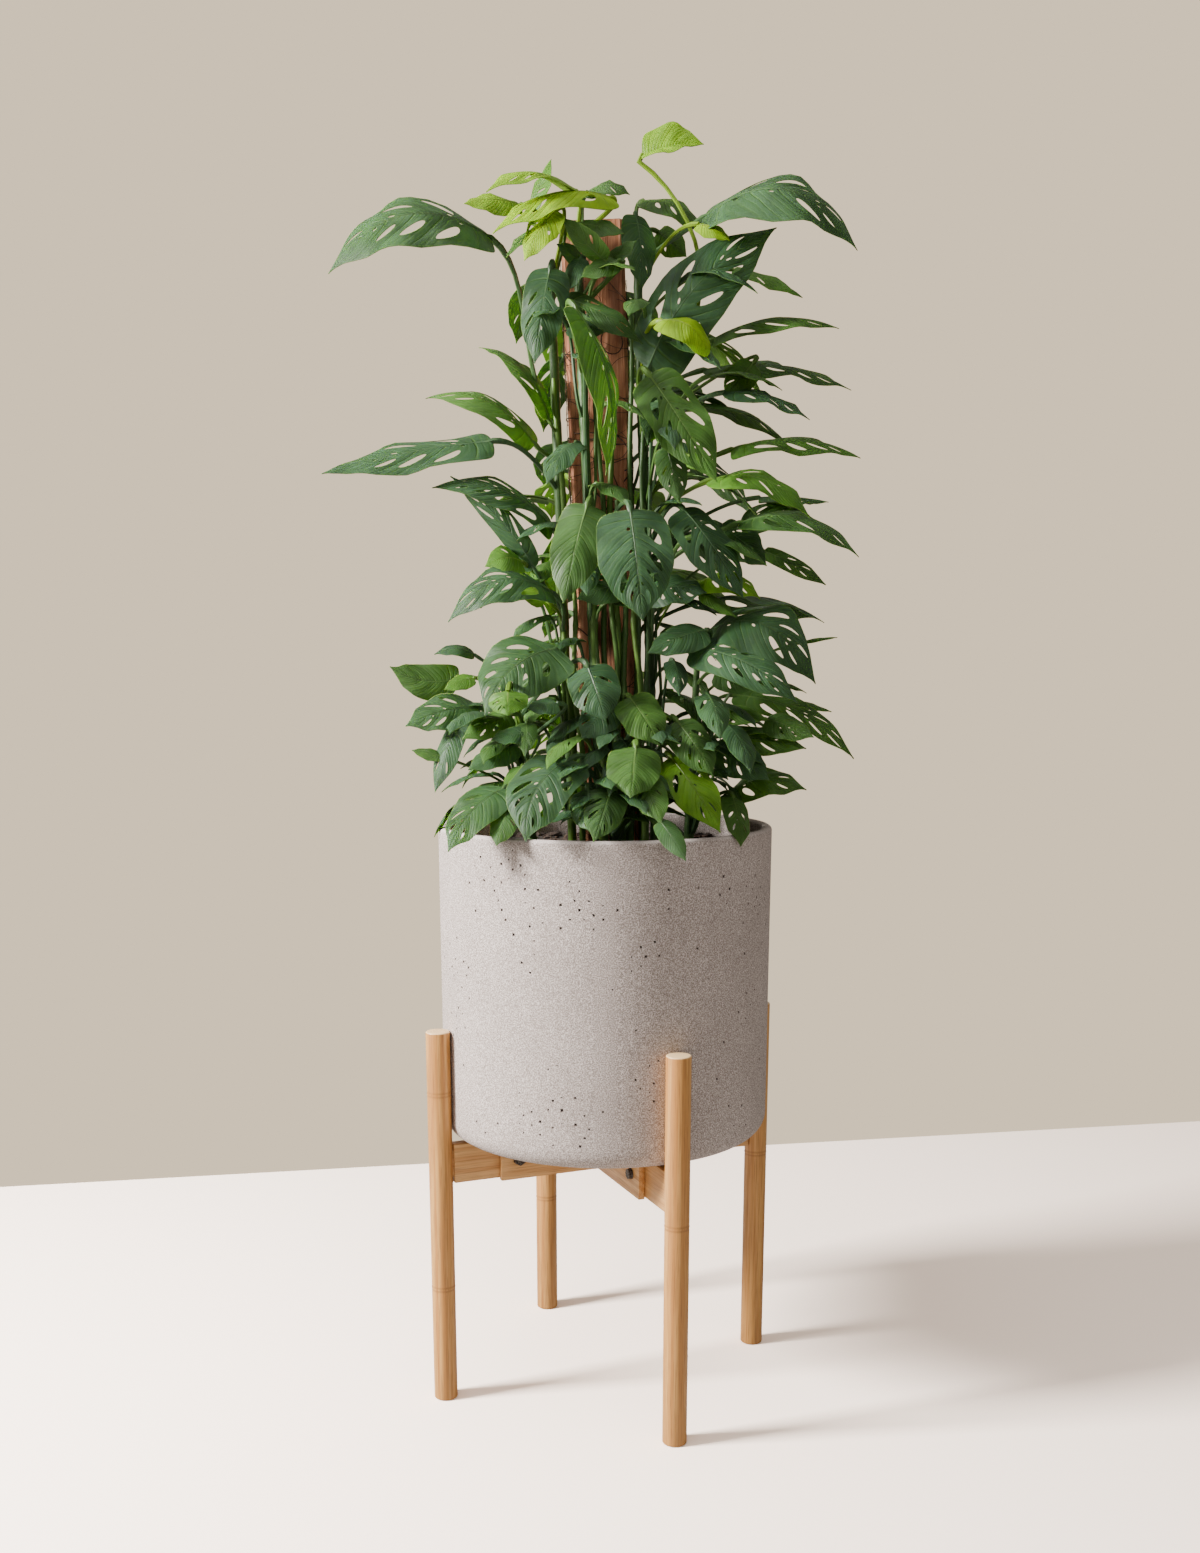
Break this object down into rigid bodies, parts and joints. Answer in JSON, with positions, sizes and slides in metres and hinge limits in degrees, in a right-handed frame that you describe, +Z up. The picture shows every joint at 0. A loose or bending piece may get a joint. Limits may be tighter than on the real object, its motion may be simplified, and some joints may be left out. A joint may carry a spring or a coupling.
{
  "type": "monstera adansonii",
  "caption": "Swiss cheese vine with holed leaves climbing a wooden plank, in a grey cylinder pot that rests in a bamboo stand with upright legs and a bolted cross.",
  "frame": {"origin": "middle of the whole box's base, on the floor under the stand; the pot's axis stands 7.5 mm to +X and 6.7 mm to -Y of it", "axes": "+Z up, -Y towards the camera of the picture, +X to the picture's right"},
  "size_m": [0.4552, 0.354, 1.1109],
  "materials": {
    "pot_stone": "matte, fine grey speckle with small pits",
    "soil_bark": "loose dark bark and soil",
    "plank_wood": "rough sawn reddish-brown wood",
    "bamboo": "satin clear lacquer",
    "bolt_steel": "dark burnished steel",
    "foliage": "soft waxy sheen of living leaves"
  },
  "bodies": {
    "root": {"pot": "pot_stone", "soil": "soil_bark", "climbing_plank": "plank_wood", "leg_right": "bamboo", "leg_back": "bamboo", "leg_left": "bamboo", "leg_front": "bamboo", "arm_right": "bamboo", "arm_back": "bamboo", "arm_left": "bamboo", "arm_front": "bamboo", "slat_left_right_a": "bamboo", "slat_left_right_b": "bamboo", "slat_front_back_a": "bamboo", "slat_front_back_b": "bamboo", "bolt_right": "bolt_steel", "bolt_back": "bolt_steel", "bolt_left": "bolt_steel", "bolt_front": "bolt_steel", "nut_right": "bolt_steel", "nut_back": "bolt_steel", "nut_left": "bolt_steel", "nut_front": "bolt_steel", "vine_left": "foliage", "vine_front": "foliage", "vine_right": "foliage", "vine_back_left": "foliage", "vine_back_right": "foliage", "vine_low_left": "foliage", "vine_low_front": "foliage", "vine_low_right": "foliage", "vine_low_back": "foliage"}
  },
  "joints": []
}
